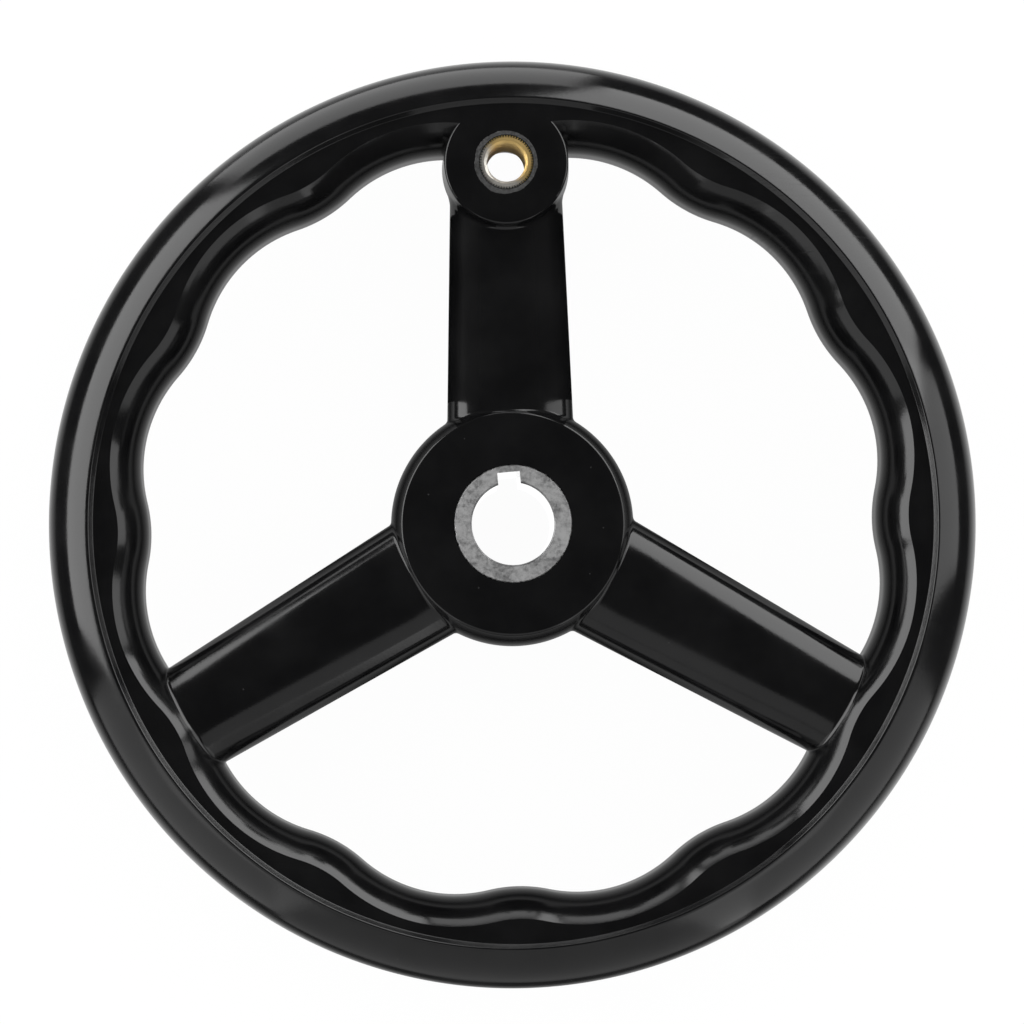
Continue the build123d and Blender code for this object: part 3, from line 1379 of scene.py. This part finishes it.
@dataclass(frozen=True)
class TurnedSteel:
    """Turned steel with fine rings, small dark pits and a line of painted shade on the chamfer round
    the bore.
    """

    dark: Colour = (0.15, 0.15, 0.152)
    pale: Colour = (0.52, 0.52, 0.52)
    ring_pitch: float = 0.00022
    bore_shade_reach: float = 0.01142
    grain_range: Point = (0.36, 0.54)

    def material(self) -> bpy.types.Material:
        """Mix the finish.

        Returns:
            The finish as a node material.
        """
        sheet = NodeSheet("turned_steel")
        flat = sheet.vector("MULTIPLY", sheet.object_point, (1.0, 1.0, 0.0)).outputs[0]
        radius = sheet.vector("LENGTH", flat).outputs["Value"]
        turns = sheet.math("MULTIPLY", radius, math.tau / self.ring_pitch)
        grooves = sheet.math("MULTIPLY", sheet.math("SINE", turns), 0.05)
        patch = sheet.math("MULTIPLY", sheet.noise(260.0, 3.0, 0.6), 0.5)
        grain = sheet.math("MULTIPLY", sheet.noise(1100.0, 5.0, 0.75), 0.5)
        grain = sheet.math("ADD", sheet.math("ADD", grain, patch), grooves)
        facing = sheet.add("ShaderNodeSeparateXYZ")
        sheet.link(sheet.object_normal, facing.inputs[0])
        # Painted shade: the up-facing chamfer round the bore is darkened, as if in shadow, and this
        # is taken off the grain below.
        edge = sheet.spread(radius, self.bore_shade_reach, self.bore_shade_reach + 0.0001, 1, 0)
        edge = sheet.math("MULTIPLY", edge, sheet.spread(facing.outputs["Z"], 0.2, 0.5, 0, 0.6))
        grain_and_bore_shade = sheet.math("SUBTRACT", sheet.spread(grain, *self.grain_range), edge)
        sheet.paint(sheet.blend_colours(sheet.spread(grain_and_bore_shade, -0.6, 1, -0.35), self.dark, self.pale))
        sheet.settle(Metallic=0.85)
        level = sheet.spread(sheet.math("ABSOLUTE", facing.outputs["Z"]), 0.4, 0.8, 0.12)
        rough = sheet.spread(grain, *self.grain_range, 0.42, 0.58)
        sheet.link(sheet.math("MULTIPLY", rough, level), sheet.shader.inputs["Roughness"])
        sheet.bump(grain, 0.3, 0.0001)
        return sheet.material


@dataclass(frozen=True)
class TarnishedBrass:
    """Brass that is yellow on one side and grey on the other, mottled between them."""

    yellow: Colour = (0.74, 0.52, 0.20)
    grey: Colour = (0.50, 0.48, 0.44)
    grey_slope: float = 120.0

    def material(self) -> bpy.types.Material:
        """Mix the finish.

        Returns:
            The finish as a node material.
        """
        sheet = NodeSheet("tarnished_brass")
        patch = sheet.noise(160.0, 3.0, 0.6)
        slope = (-self.grey_slope, -self.grey_slope, 0.0)
        lean = sheet.vector("DOT_PRODUCT", sheet.object_point, slope).outputs["Value"]
        grey_side = sheet.math("ADD", lean, self.grey_slope * BOSS_PITCH * MM)
        fine = sheet.math("MULTIPLY", sheet.noise(1900.0, 3.0, 0.7), 0.7)
        mottled = sheet.math("ADD", sheet.math("ADD", grey_side, patch), fine)
        sheet.paint(sheet.blend_colours(sheet.spread(mottled, 0.6, 1.2), self.yellow, self.grey))
        sheet.settle(Metallic=0.85)
        sheet.link(sheet.spread(patch, 0.3, 0.7, 0.28, 0.45), sheet.shader.inputs["Roughness"])
        sheet.bump(sheet.noise(2000.0, 2.0, 0.6), 0.4, 0.0002)
        return sheet.material


@dataclass(frozen=True)
class DullSkin:
    """Rough dark grey moulding skin."""

    dark: Colour = (0.007, 0.007, 0.007)
    pale: Colour = (0.05, 0.05, 0.05)

    def material(self) -> bpy.types.Material:
        """Mix the finish.

        Returns:
            The finish as a node material.
        """
        sheet = NodeSheet("dull_moulding_skin")
        grain = sheet.noise(1800.0, 4.0, 0.7)
        sheet.paint(sheet.blend_colours(sheet.spread(grain, 0.35, 0.65), self.dark, self.pale))
        sheet.settle(Roughness=0.6)
        sheet.bump(grain, 0.5, 0.0001)
        return sheet.material


# Stage, lamps and camera


@dataclass(frozen=True)
class Lamp:
    """One soft lamp, placed by its direction from the wheel.

    The direction is given clockwise from +Y and down from straight up, in degrees.
    """

    name: str
    clockwise: float
    half_sweep: float
    highest: float
    lowest: float
    level: float
    distance: float = 1.5

    def place(self) -> None:
        """Add the lamp and aim it at the wheel."""
        turn = math.radians(self.clockwise)
        tilt = math.radians((self.highest + self.lowest) / 2)
        reach = math.radians((self.lowest - self.highest) / 2)
        side = math.sin(tilt)
        way = Vector((math.sin(turn) * side, math.cos(turn) * side, math.cos(tilt)))
        data = bpy.data.lights.new(self.name, "AREA")
        data.shape = "RECTANGLE"
        data.size = 2 * self.distance * math.tan(math.radians(self.half_sweep)) * side
        data.size_y = 2 * self.distance * math.tan(reach)
        data.energy = self.level * math.pi * data.size * data.size_y
        lamp = bpy.data.objects.new(self.name, data)
        bpy.context.scene.collection.objects.link(lamp)
        lamp.location = Vector((0, 0, PARTING * MM)) + way * self.distance
        lamp.rotation_euler = way.to_track_quat("Z", "Y").to_euler()
        lamp.visible_camera = False


@dataclass(frozen=True)
class Flag:
    """A black card beside the top spoke that keeps a lamp's reflection off its flank."""

    aside: float
    near: float = 33.5
    far: float = 84.0
    low: float = 22.0
    high: float = 54.0

    def place(self) -> None:
        """Stand the card up and hide it from all but reflections."""
        deselect_everything()
        bpy.ops.mesh.primitive_plane_add(size=MM, rotation=(0, math.pi / 2, 0))
        card = bpy.context.object
        card.name = "flag"
        make_active(card)
        bpy.ops.object.transform_apply(rotation=True)
        size = Matrix.Diagonal((1, self.far - self.near, self.high - self.low, 1))
        middle = ((self.near + self.far) / 2 * MM, (self.low + self.high) / 2 * MM)
        move_mesh(card, Matrix.Translation((self.aside * MM, *middle)) @ size)
        sheet = NodeSheet("black_card")
        grain = sheet.spread(sheet.noise(300.0), 0.3, 0.7)
        sheet.paint(sheet.blend_colours(grain, (0.012, 0.012, 0.012), (0.02, 0.02, 0.02)))
        sheet.settle(Roughness=0.9)
        card.data.materials.append(sheet.material)
        for ray in ("camera", "diffuse", "shadow", "transmission", "volume_scatter"):
            setattr(card, "visible_" + ray, False)


@dataclass(frozen=True)
class Studio:
    """The white floor, the dim surroundings and the lamps.

    The floor's shine is what reflections see of it: each ramp gives the radii in metres between
    which it changes.
    """

    flags: tuple[Flag, ...] = (Flag(-18.3), Flag(18.3))
    lamps: tuple[Lamp, ...] = (
        Lamp("left_lamp", 289, 33, 49, 87, 3.1),
        Lamp("right_lamp", 39, 29, 44, 90, 3.0),
        Lamp("right_side_lamp", 83, 15, 40, 88, 1.5),
        Lamp("top_lamp", 347, 24, 76, 120, 1.6),
        Lamp("low_front_fill", 185, 56, 28, 48, 0.42),
        Lamp("low_fill", 180, 33, 48, 124, 0.40),
        Lamp("low_right_fill", 132, 22, 48, 112, 0.72),
        Lamp("low_left_fill", 231, 20, 48, 112, 0.72),
    )
    floor_half: float = 3.0
    floor_drop: float = 0.2
    floor_colour: Colour = (0.88, 0.88, 0.88)
    floor_glow: float = 0.97
    floor_shine: float = 0.80
    front_shine: float = 0.08
    hub_shine: float = 0.24
    bore_ramp: Point = (0.016, 0.022)
    hub_ramp: Point = (0.040, 0.060)
    rim_ramp: Point = (0.058, 0.142)
    front_ramp: Point = (-0.150, -0.112)
    far_ramp: Point = (0.142, 0.192)
    shine_aside: float = 0.006
    glossy_level: float = 0.045
    diffuse_level: float = 0.8

    def floor(self) -> None:
        """Lay the white floor under the wheel."""
        deselect_everything()
        bpy.ops.mesh.primitive_plane_add(size=2 * self.floor_half)
        plane = bpy.context.object
        plane.name = "floor"
        move_mesh(plane, Matrix.Translation((0, 0, -self.floor_drop * MM)))
        sheet = NodeSheet("white_floor")
        sheet.settle(Base_Color=(*self.floor_colour, 1), Roughness=0.9, Specular_IOR_Level=0.0)
        path = sheet.add("ShaderNodeLightPath")
        seen = sheet.math("MULTIPLY", path.outputs["Is Camera Ray"], self.floor_glow)
        glow = sheet.add("ShaderNodeEmission", Strength=1.0)
        plain = sheet.mix_shaders(seen, sheet.shader.outputs[0], glow.outputs[0])
        under = sheet.add("ShaderNodeEmission")
        sheet.link(self.shine(sheet), under.inputs["Strength"])
        beyond = sheet.add("ShaderNodeBsdfTransparent")
        apart = sheet.distance_from(sheet.object_point, (self.shine_aside, 0, 0))
        far = sheet.spread(apart, *self.far_ramp)
        mirrored = sheet.mix_shaders(far, under.outputs[0], beyond.outputs[0])
        whole = sheet.mix_shaders(path.outputs["Is Glossy Ray"], plain, mirrored)
        sheet.link(whole, sheet.tree.nodes["Material Output"].inputs["Surface"])
        plane.data.materials.append(sheet.material)

    def shine(self, sheet: NodeSheet) -> Socket:
        """Light the floor that reflections see below the bore, the hub and the rim.

        Args:
            sheet: The floor's node tree.

        Returns:
            The floor's strength in reflections.
        """
        radius = sheet.vector("LENGTH", sheet.object_point).outputs["Value"]
        sides = sheet.add("ShaderNodeSeparateXYZ")
        sheet.link(sheet.object_point, sides.inputs[0])
        bore = sheet.spread(radius, *self.bore_ramp, 1, 0)
        hub = sheet.spread(radius, *self.hub_ramp, self.hub_shine, 0)
        rim = sheet.spread(radius, *self.rim_ramp, 0, self.floor_shine)
        front = sheet.spread(sides.outputs["Y"], *self.front_ramp, self.front_shine)
        rim = sheet.math("MULTIPLY", rim, front)
        return sheet.math("ADD", sheet.math("ADD", bore, hub), rim)

    def surroundings(self) -> None:
        """Set a dim world that the camera sees as white."""
        world = bpy.data.worlds.new("studio")
        bpy.context.scene.world = world
        world.use_nodes = True
        tree = world.node_tree
        path = tree.nodes.new("ShaderNodeLightPath")
        latest = tree.nodes["Background"].outputs[0]
        tree.nodes["Background"].inputs["Color"].default_value = (*[self.diffuse_level] * 3, 1)
        for ray, level in (("Is Glossy Ray", self.glossy_level), ("Is Camera Ray", 1.0)):
            background = tree.nodes.new("ShaderNodeBackground")
            background.inputs["Color"].default_value = (level, level, level, 1)
            mix = tree.nodes.new("ShaderNodeMixShader")
            tree.links.new(path.outputs[ray], mix.inputs[0])
            tree.links.new(latest, mix.inputs[1])
            tree.links.new(background.outputs[0], mix.inputs[2])
            latest = mix.outputs[0]
        tree.links.new(latest, tree.nodes["World Output"].inputs["Surface"])

    def light(self) -> None:
        """Set up floor, surroundings and lamps, with colours shown as they are."""
        self.floor()
        self.surroundings()
        for item in (*self.lamps, *self.flags):
            item.place()
        bpy.context.scene.view_settings.view_transform = "Standard"


@dataclass(frozen=True)
class Camera:
    """The camera above the wheel, a little left of and below its axis."""

    foot: Point = (-18.7, -27.3)
    height: float = 940.0
    lens: float = 118.86
    roll: float = -1.1
    shift: Point = (0.0656, 0.1129)

    def place(self) -> None:
        """Add the camera and make it the scene's own."""
        data = bpy.data.cameras.new("camera")
        data.lens = self.lens
        data.sensor_width = 36.0
        data.shift_x, data.shift_y = self.shift
        data.clip_start = 0.01
        camera = bpy.data.objects.new("camera", data)
        bpy.context.scene.collection.objects.link(camera)
        camera.location = (self.foot[0] * MM, self.foot[1] * MM, self.height * MM)
        camera.rotation_euler = (0, 0, math.radians(self.roll))
        bpy.context.scene.camera = camera


def main() -> None:
    """Build and dress the handwheel, then set up stage, lamps and camera."""
    logging.basicConfig(level=logging.INFO, format="%(message)s")
    Camera().place()
    Studio().light()
    wheel = WheelBody()
    wheel.dress(wheel.build())
    bush = HubBush()
    bush.dress(bush.build())
    insert = HandleInsert()
    insert.dress(insert.build())
    flash = InsertFlash()
    flash.dress(flash.build())


if __name__ == "__main__":
    main()
